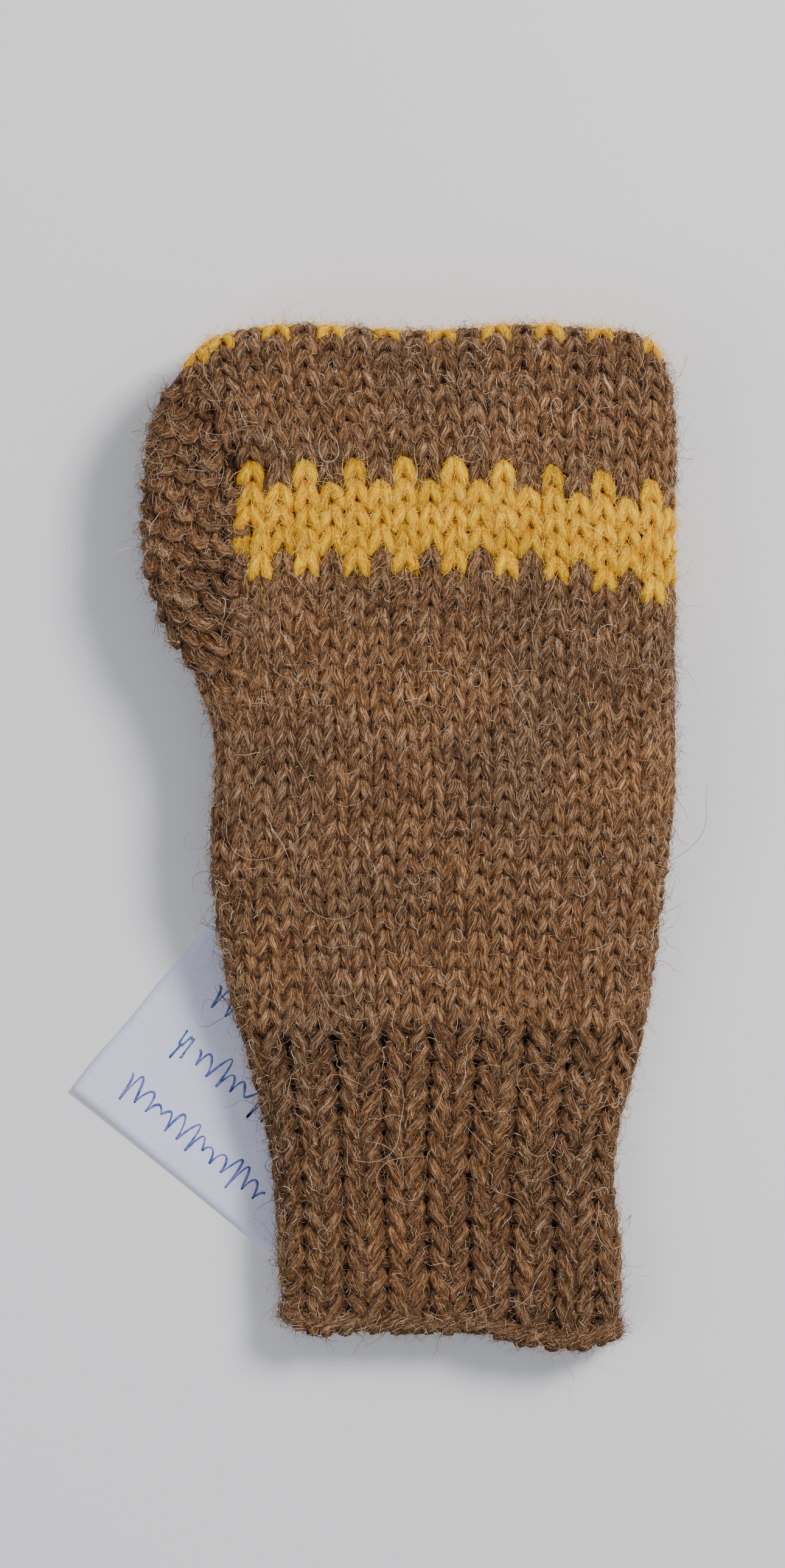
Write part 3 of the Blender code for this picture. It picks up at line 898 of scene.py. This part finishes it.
knit = Knitting().shade_sheet(WHOLE, GUSSET_START, BAND_START)
for v in WRIST_ROWS[WRIST_ROWS > GUSSET_START]:
    palm_row(knit, v, BROWN_PITCH)
fabric("palm_knitting", knit, "hand", ["palm_section"], 12000)

knit = Knitting().shade_sheet(WHOLE, BAND_START, BAND_END, yellow=on_palm)
for i, v in enumerate(BAND_ROWS):
    palm_row(knit, v, BAND_PITCH, dots=i in (0, 4), yellow=i in (1, 2, 3))
fabric("first_band_knitting", knit, "hand", ["first_yellow_band"], 11000)

knit = Knitting().shade_sheet(WHOLE, BAND_END, ARC_1)
for v in KNUCKLE_ROWS[:-1]:
    palm_row(knit, v, KNUCKLE_PITCH)
fabric("knuckle_knitting", knit, "hand", ["knuckle_section"], 11000)

knit = Knitting()
for i, v in enumerate(np.arange(GUSSET_START + 2 * MM, GUSSET_TOP, GUSSET_PITCH)):
    gusset_row(knit, v, GUSSET_PITCH, i % 2)
fabric("gusset_knitting", knit, "hand", ["thumb_gusset"], 6500)


# The fold: the second band runs over its edge.
def fold_row(knit, v, pitch, reach=0.82, **yarns):
    """A row round the fold. In a row of single yellow stitches the left corner is all yellow."""
    edges, first = fold_columns(v)
    count = len(edges) - 1
    colours = row_colours(first, count, **yarns)
    if "dots" in yarns:
        colours[WHOLE.place(edges[:-1], v, 0)[:, 0] < -32 * MM] = YELLOW
    knit_row(knit, WHOLE, v, edges, np.ones(count), colours, pitch, shift=droop, reach=reach)


knit = Knitting().shade_sheet(WHOLE, ARC_1, STRIP)
fold_row(knit, KNUCKLE_ROWS[-1], KNUCKLE_PITCH)
fold_row(knit, SECOND_ROWS[0], DOTS_PITCH, dots=True)
fold_row(knit, SECOND_ROWS[1], SECOND_PITCH, yellow=True)
fabric("upper_bend_knitting", knit, ("hand", "fold_strip", ARC_1, STRIP), [], 6000)

knit = Knitting().shade_sheet(WHOLE, STRIP, ARC_2)
fold_row(knit, SECOND_ROWS[2], SECOND_PITCH, yellow=True)
fold_row(knit, SECOND_ROWS[3], SECOND_PITCH, yellow=True, reach=0.95)
SECOND_BAND = ["second_band_outer_layer", "second_band_inner_layer"]
fabric("fold_strip_knitting", knit, "fold_strip", SECOND_BAND, 3500)


# ---------------------------------------------------------------- the folded-under flap


def tube_row(knit, tube, v, pitch, face, count, dots=False):
    faces, colours = np.full(count, face), row_colours(0, count, dots)
    knit_row(knit, tube, v, columns_evenly(tube, v, count), faces, colours, pitch, reach=0.98 if dots else 0.82)


def stitches_at(tube, v, width):
    """How many stitches of about a width go round a tube."""
    return max(5, int(round(float(tube.around(v)) / width)))


def v_of(y):
    """The distance along the knitting of a place on the flap."""
    return FLAP + ARC_1 - y


# The bends from the fold into the flap: the band's last dotted row and one brown row.
for tube, name, face, dotted, brown, body, amount in (
    (FINGERS, "fingers_bend_knitting", 1, 28, 29, "fingers", 2500),
    (THUMB, "thumb_bend_knitting", -1, 12, 12, "thumb_root", 1200),
):
    knit = Knitting().shade_sheet(tube, ARC_2, FLAP)
    tube_row(knit, tube, SECOND_ROWS[4], SECOND_PITCH, 1, dotted, dots=True)
    tube_row(knit, tube, FLAP_START + 0.5 * FLAP_PITCH, FLAP_PITCH, face, brown)
    fabric(name, knit, ("fold_strip", body, ARC_2, FLAP), [], amount)

CAP_START = v_of(cap_high.y)
THUMB_START = v_of(thumb_high.y)
THUMB_TIP = v_of(thumb_tip_high.y)
THUMB_BEND = (THUMB_START - 5 * MM, THUMB_START + 5 * MM)
FLAP_PARTS = [
    ("fingers_knitting", FINGERS, FLAP, CAP_START, 5.6, "fingers", ["fingers_section"], 5500),
    ("fingertip_knitting", FINGERS, CAP_START, FINGERS.v[-1], 5.5, "fingers", ["fingertip_cap"], 3000),
    ("thumb_root_knitting", THUMB, FLAP, THUMB_BEND[0], 5.6, "thumb_root", ["thumb_base"], 700),
    ("thumb_joint_knitting", THUMB, *THUMB_BEND, 5.6, ("thumb_root", "thumb", *THUMB_BEND), [], 900),
    ("thumb_knitting", THUMB, THUMB_BEND[1], THUMB_TIP, 5.6, "thumb", ["thumb_tube"], 4500),
    ("thumb_tip_knitting", THUMB, THUMB_TIP, THUMB.v[-1], 5.6, "thumb", ["thumb_tip"], 1500),
]
for name, tube, start, end, width, home, replaced, amount in FLAP_PARTS:
    knit = Knitting().shade_sheet(tube, start, end)
    rows = np.arange(FLAP_START + 1.5 * FLAP_PITCH, tube.v[-1] - 2.5 * MM, FLAP_PITCH)
    for v in rows[(rows >= start) & (rows < end)]:
        face = 1 if tube is FINGERS else -1
        tube_row(knit, tube, v, FLAP_PITCH, face, stitches_at(tube, v, width * MM))
    fabric(name, knit, home, replaced, amount)


# ---------------------------------------------------------------- guard hairs


HAIR_ROOM = 9 * MM  # how far a hair may reach past the part


def surface_height(x, y):
    """The height of the mitten's upper surface over a point, falling away past its edges."""
    top = np.interp(y, STATIONS, OUTER[:, 1])
    middle = (top + np.interp(y, STATIONS, INNER[:, 1])) / 2
    radius = top - middle
    left, right = side_edges(y)
    inside = np.minimum(x - left, right - x)
    depth = np.clip(1 - inside / radius, 0, 1)
    return middle + radius * np.sqrt(1 - depth**2)


def guard_hairs(name, x, y, angle, lengths, curl=1.0):
    """Long wiry hairs: they start in the wool, wander over it in loops and lift clear of it here and there."""
    count, bits = len(x), 30
    turn = rng.normal(0, 0.07, count) * curl
    lift = rng.uniform(0.3, 2.2, count) * MM
    lines = []
    level = surface_height(x, y)
    for k in range(bits + 1):
        share = k / bits
        ground = surface_height(x, y)
        level = np.maximum(ground, level - 0.5 * MM)
        rise = lift * math.sin(math.pi * min(1, share * 1.15)) ** 0.8 if share < 0.87 else lift * 0.3
        lines.append(np.stack([x, y, np.maximum(level + rise - (0.5 * MM if k == 0 else 0), 0.5 * MM)], -1))
        turn = turn * 0.93 + rng.normal(0, 0.05, count) * curl
        angle = angle + turn
        step = lengths / bits
        x = x + np.cos(angle) * step
        y = y + np.sin(angle) * step
    line = np.stack(lines, 1)
    line[..., 2] += 0.12 * MM * np.sin(np.arange(bits + 1) * 1.1)[None] * rng.uniform(0, 1, (count, 1))
    tangent = unit(np.gradient(line, axis=1))
    side = unit(np.cross(tangent, [0.05, 0.03, 1.0]))
    up = np.cross(side, tangent)
    taper = np.interp(np.arange(bits + 1) / bits, [0, 0.7, 1], [1, 0.9, 0.3])
    radius = rng.uniform(0.05, 0.09, (count, 1)) * MM * taper
    corner = (np.arange(3) * 2 * math.pi / 3)[:, None]
    ring = side[:, :, None] * np.cos(corner) + up[:, :, None] * np.sin(corner)
    points = settle((line[:, :, None] + ring * radius[..., None, None]).reshape(-1, 3))
    low, high = (np.array(corner) for corner in CAD_BOX)
    points = np.clip(points, low - HAIR_ROOM, [*(high[:2] + HAIR_ROOM), HIGHEST])
    first = np.arange(count)[:, None, None] * (bits + 1) * 3 + np.arange(bits)[:, None] * 3
    pick = rng.random(count)
    shade = np.select([pick < 0.15, pick < 0.42, pick < 0.82], [0, 1, 2], 3)
    hairs = mesh_object(name, points, ring_quads(first, first + 3, 3), FIBRES, np.repeat(shade, bits * 3), "hand")


count = 125
y = rng.uniform(CUFF_TOP - 40 * MM, 100 * MM, count)
across = rng.uniform(0.05, 0.95, count)
left, right = side_edges(y)
headings = rng.uniform(0, 2 * math.pi, count)
lengths = rng.gamma(2.2, 8.0, count).clip(7, 55) * MM
guard_hairs("guard_hairs_hand", left * (1 - across) + right * across, y, headings, lengths)

count = 150
y = rng.uniform(EDGE_TOP, -5 * MM, count)
on_left = rng.random(count) < 0.65
left, right = side_edges(y)
headings = np.where(on_left, math.pi, 0) + rng.normal(0, 0.8, count)
lengths = rng.gamma(3, 2.2, count).clip(3, 14) * MM
guard_hairs("guard_hairs_edges", np.where(on_left, left + 2 * MM, right - 2 * MM), y, headings, lengths, curl=1.6)


# ---------------------------------------------------------------- loose yarns


def box_yarn(name, node_name, body, slot, colour, tip_of=None):
    """A length of yarn in the room of one CAD node: a strand along it, or a coil that closes a tube's tip."""
    low, high = (np.array(corner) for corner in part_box(node_name))
    middle, size = (low + high) / 2, high - low
    long_axis = int(np.argmax(size))
    radius = np.sort(size)[:2] / 2
    knit = Knitting()
    if tip_of:
        _, _, _, tip_radius, tip_flat = tip_of.section(tip_of.v[-1] - 1.5 * MM)
        t = np.linspace(0, 2 * math.pi * 3, 90)
        share = 1 - 0.9 * t / t[-1]
        x = middle[0] + (tip_flat / 2 + tip_radius - 1.6 * MM) * share * np.cos(t)
        z = middle[2] + (tip_radius - 1.3 * MM) * share * np.sin(t)
        path = np.stack([x, middle[1] + (0.9 - 0.8 * share) * MM + 0.2 * MM * np.sin(2.3 * t), z], -1)
        normal = np.tile([0.0, -1.0, 0.0], (len(t), 1))
        knit.strand(path, normal, 0.75 * MM, 0.7 * MM, 0.4, colour, middle[1], False)
    else:
        t = np.linspace(-1, 1, max(12, int(size[long_axis] / (2 * MM))))
        path = np.tile(middle, (len(t), 1))
        path[:, long_axis] += t * (size[long_axis] / 2 - 0.3 * MM)
        other = 1 if long_axis == 0 else 0
        path[:, other] += 0.35 * MM * np.sin(t * 9)
        normal = np.tile([0.0, 0.0, 1.0], (len(t), 1))
        knit.strand(path, normal, radius[1], radius[0], 0.4, colour, middle[1], False)
    fabric(name, knit, body, [node_name])


for yarn in (
    ("bound_off_tail_yarn", "bound_off_tail", "hand", "brown_wool", BROWN),
    ("lower_float_yarn", "lower_float_strand", "hand", "yellow_wool", YELLOW),
    ("upper_float_yarn", "upper_float_strand", "hand", "yellow_wool", YELLOW),
    ("yellow_start_yarn", "yellow_start_tail", "hand", "yellow_wool", YELLOW),
    ("yellow_end_yarn", "yellow_end_tail", "hand", "yellow_wool", YELLOW),
    ("fingertip_closing_yarn", "fingertip_closing_thread", "fingers", "brown_wool", BROWN, FINGERS),
    ("thumb_closing_yarn", "thumb_closing_thread", "thumb", "brown_wool", BROWN, THUMB),
):
    box_yarn(*yarn)


# ---------------------------------------------------------------- paper slip


def paper_look(tree):
    place = object_place(tree)
    fine = noise(tree, place, 1400.0, detail=4.0)
    slow = noise(tree, place, 45.0, detail=2.0)
    base = ramp(tree, fine, (0.3, (0.64, 0.66, 0.82)), (0.7, (0.72, 0.74, 0.90)))
    tone = ramp(tree, slow, (0.3, (0.95, 0.95, 0.96)), (0.7, (1.0, 1.0, 1.0)))
    return {"Base Color": multiplied(tree, base, tone), "Normal": bump(tree, fine, 0.25, 0.0001), "Roughness": 0.85}


def ink_look(tree):
    spread = noise(tree, object_place(tree), 700.0, detail=3.0)
    return {"Base Color": ramp(tree, spread, (0.35, (0.05, 0.07, 0.33)), (0.7, (0.20, 0.24, 0.52))), "Roughness": 0.7}


def slip_frame():
    """The slip's centre, its two side directions and its half size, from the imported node's own corners."""
    flat = np.array([vertex.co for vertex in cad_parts["paper_slip"].data.vertices])[:, :2]
    corners = [flat[np.argmin(flat[:, 0])], flat[np.argmin(flat[:, 1])], flat[np.argmax(flat[:, 0])]]
    centre = (flat.min(0) + flat.max(0)) / 2
    first, second = corners[1] - corners[0], corners[2] - corners[1]
    return centre, first / np.linalg.norm(first), second / np.linalg.norm(second), np.linalg.norm(first) / 2


def slip_point(a, b, z=0.0):
    centre, first, second, half = slip_frame()
    flat = centre + np.multiply.outer(a * half, first) + np.multiply.outer(b * half, second)
    return np.concatenate([flat, np.broadcast_to(z, np.shape(a))[..., None]], -1)


def paper_rise(a, b):
    """A slight curl of the paper's free corner."""
    free = np.clip((-a - b - 0.6) / 1.4, 0, 1) + 0.5 * np.clip((-a + b - 1.1) / 0.9, 0, 1)
    return 0.9 * MM * free**2


CELLS = 40
SHEET_TOP, SHEET_UNDER = slip_high.z - 0.1 * MM, slip_low.z + 0.1 * MM
a, b = np.meshgrid(np.linspace(-1, 1, CELLS + 1), np.linspace(-1, 1, CELLS + 1), indexing="ij")
rise = paper_rise(a, b)
cut = a + 0.004 * np.sin(b * 11) * (np.abs(a) > 0.99)
points = np.concatenate([slip_point(cut, b, z + rise).reshape(-1, 3) for z in (SHEET_TOP, SHEET_UNDER)])
index = np.arange(a.size).reshape(a.shape)
cell = np.stack([index[:-1, :-1], index[1:, :-1], index[1:, 1:], index[:-1, 1:]], -1).reshape(-1, 4)
rim = np.concatenate([index[0, :], index[1:, -1], index[-1, -2::-1], index[-2:0:-1, 0]])
wall = np.stack([rim, np.roll(rim, -1), np.roll(rim, -1) + a.size, rim + a.size], -1)
quads = np.concatenate([cell, cell[:, ::-1] + a.size, wall])
look = [material("slip_paper", paper_look)]
paper = mesh_object("paper_slip_sheet", points, quads, look, np.zeros(len(quads), int), "slip")
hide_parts("paper_slip")

# Pen marks on the slip: plain wavy strokes that say nothing. Each has its begin, end, level, height and waves.
STROKES = [
    (-0.77, 0.35, -0.75, 0.060, 13), (-0.68, -0.60, -0.36, 0.070, 1.5), (-0.54, 0.45, -0.33, 0.062, 11),
    (-0.70, 0.50, 0.04, 0.066, 12), (-0.40, 0.55, 0.42, 0.055, 10),
]
points, quads = [], []
for begin, end, level, height, waves in STROKES:
    bits = int(26 * waves)
    t = np.linspace(0, 1, bits + 1)
    swell = 1 + 0.5 * np.sin(t * 17 + waves) + 0.35 * np.sin(t * 41)
    along = begin + (end - begin) * t + 0.012 * np.sin(t * waves * 2 * math.pi)
    across = level + height * swell * np.cos(t * waves * 2 * math.pi + 0.6 * np.sin(t * 23))
    line = slip_point(along, across, SHEET_TOP + paper_rise(along, across))
    tangent = unit(np.gradient(line, axis=0))
    side = unit(np.cross(tangent, [0, 0, 1.0])) * (0.24 + 0.07 * np.sin(t * 90))[:, None] * MM
    up = np.array([0, 0, 0.03 * MM])
    base = sum(len(p) for p in points)
    points.append(np.stack([line - side - up, line + side - up, line + side + up, line - side + up], 1).reshape(-1, 3))
    first = base + np.arange(bits)[:, None] * 4
    k = np.arange(4)
    n = (k + 1) % 4
    quads.append(np.stack([first + k, first + n, first + 4 + n, first + 4 + k], -1).reshape(-1, 4))
    quads.append(np.array([[base + 3, base + 2, base + 1, base], [base + bits * 4 + i for i in range(4)]]))
points, quads = np.concatenate(points), np.concatenate(quads)
look = [material("slip_ink", ink_look)]
ink = mesh_object("slip_pen_strokes", points, quads, look, np.zeros(len(quads), int), "slip")


# ---------------------------------------------------------------- floor, light and camera

bpy.ops.mesh.primitive_plane_add(size=60, location=(0, 0, 0))
floor = bpy.context.object
floor.name = "floor"
floor.data.materials.append(material("floor", lambda tree: {"Base Color": (0.78, 0.78, 0.80, 1), "Roughness": 0.9}))


def area_light(name, location, target, size, power, colour):
    data = bpy.data.lights.new(name, "AREA")
    data.shape = "DISK"
    data.size = size
    data.energy = power
    data.color = colour
    light = bpy.data.objects.new(name, data)
    light.location = location
    direction = Vector(target) - Vector(location)
    light.rotation_euler = direction.to_track_quat("-Z", "Y").to_euler()
    bpy.context.scene.collection.objects.link(light)


area_light("key", (0.75, 0.55, 0.95), (0, 0, 0), 0.40, 20, (1.0, 0.975, 0.93))
area_light("fill", (-0.9, -0.4, 0.9), (0, 0, 0), 0.9, 5, (0.93, 0.96, 1.0))
world = bpy.data.worlds.new("studio")
world.use_nodes = True
world.node_tree.nodes["Background"].inputs["Color"].default_value = (0.9, 0.93, 1.0, 1)
world.node_tree.nodes["Background"].inputs["Strength"].default_value = 0.52
bpy.context.scene.world = world

camera_data = bpy.data.cameras.new("camera")
camera_data.sensor_width = 36
camera_data.lens = 90.5
camera = bpy.data.objects.new("camera", camera_data)
camera.location = (4.7 * MM, 11.7 * MM, 0.924)
bpy.context.scene.collection.objects.link(camera)
bpy.context.scene.camera = camera
